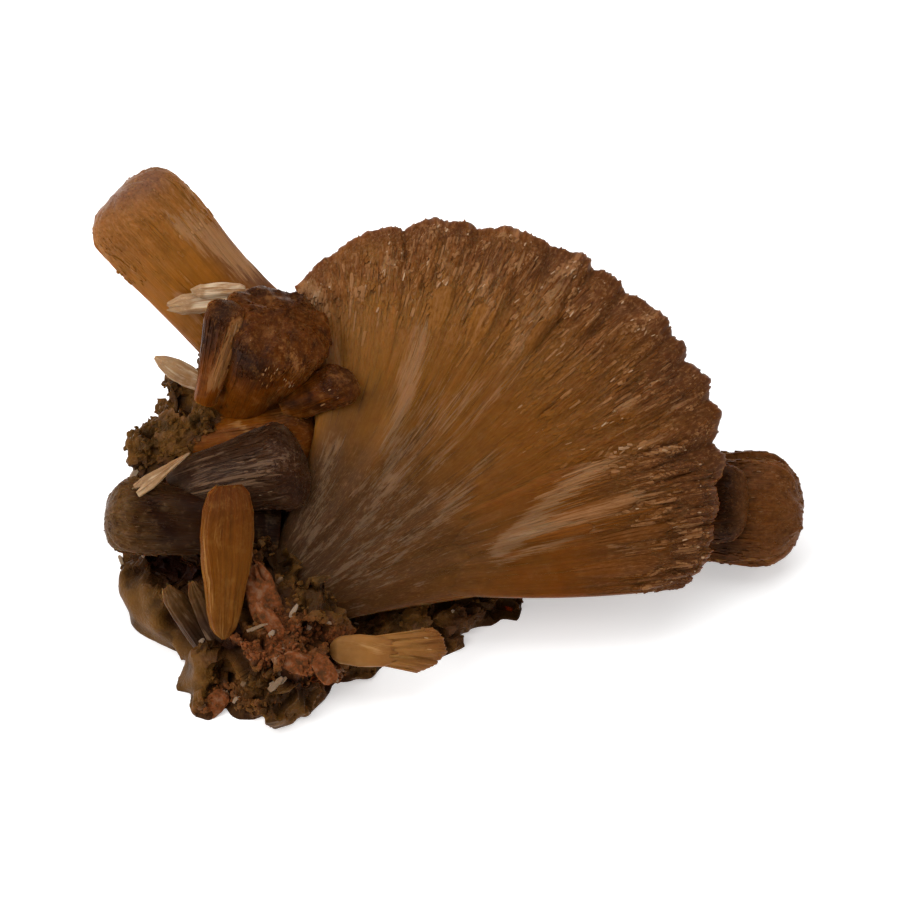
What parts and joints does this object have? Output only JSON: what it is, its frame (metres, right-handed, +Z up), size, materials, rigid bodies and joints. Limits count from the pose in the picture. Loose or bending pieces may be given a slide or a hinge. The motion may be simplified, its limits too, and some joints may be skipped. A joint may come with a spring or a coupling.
{
  "type": "stilbite mineral specimen",
  "caption": "Cabinet-size stilbite cluster: one large fan of amber laths and smaller flared crystal sheaves on a crumb of matrix, cut flat to rest on a shelf.",
  "frame": {"origin": "under the middle of the box, on the surface that the specimen rests on", "axes": "+Z up; +X along the longest extent, from the upper left sheaf towards the right sheaf; the great fan's face looks towards -Y and up"},
  "size_m": [0.0888, 0.0589, 0.0446],
  "materials": {
    "fan_amber": "silky amber-brown laths, vitreous, translucent",
    "sheaf_amber": "vitreous golden amber, lengthwise striations",
    "sheaf_brown": "dark glassy brown with a rough speckled end",
    "sheaf_grey_brown": "grey-mauve brown, coarse striations",
    "sheaf_olive_brown": "olive brown, glassy",
    "blade_amber": "pale golden, translucent, striated",
    "blade_cream": "pearly cream white",
    "matrix_rock": "dull crumbly reddish brown with orange grains"
  },
  "bodies": {
    "root": {"main_fan": "fan_amber", "upper_left_sheaf": "sheaf_amber", "brown_sheaf": "sheaf_brown", "grey_sheaf": "sheaf_grey_brown", "left_sheaf": "sheaf_olive_brown", "right_sheaf": "sheaf_brown", "amber_blade": "blade_amber", "pale_fan": "blade_amber", "cream_blade": "blade_cream", "cream_spindle": "blade_cream", "cream_flake": "blade_cream", "dark_blades": "sheaf_olive_brown", "matrix": "matrix_rock"}
  },
  "joints": []
}
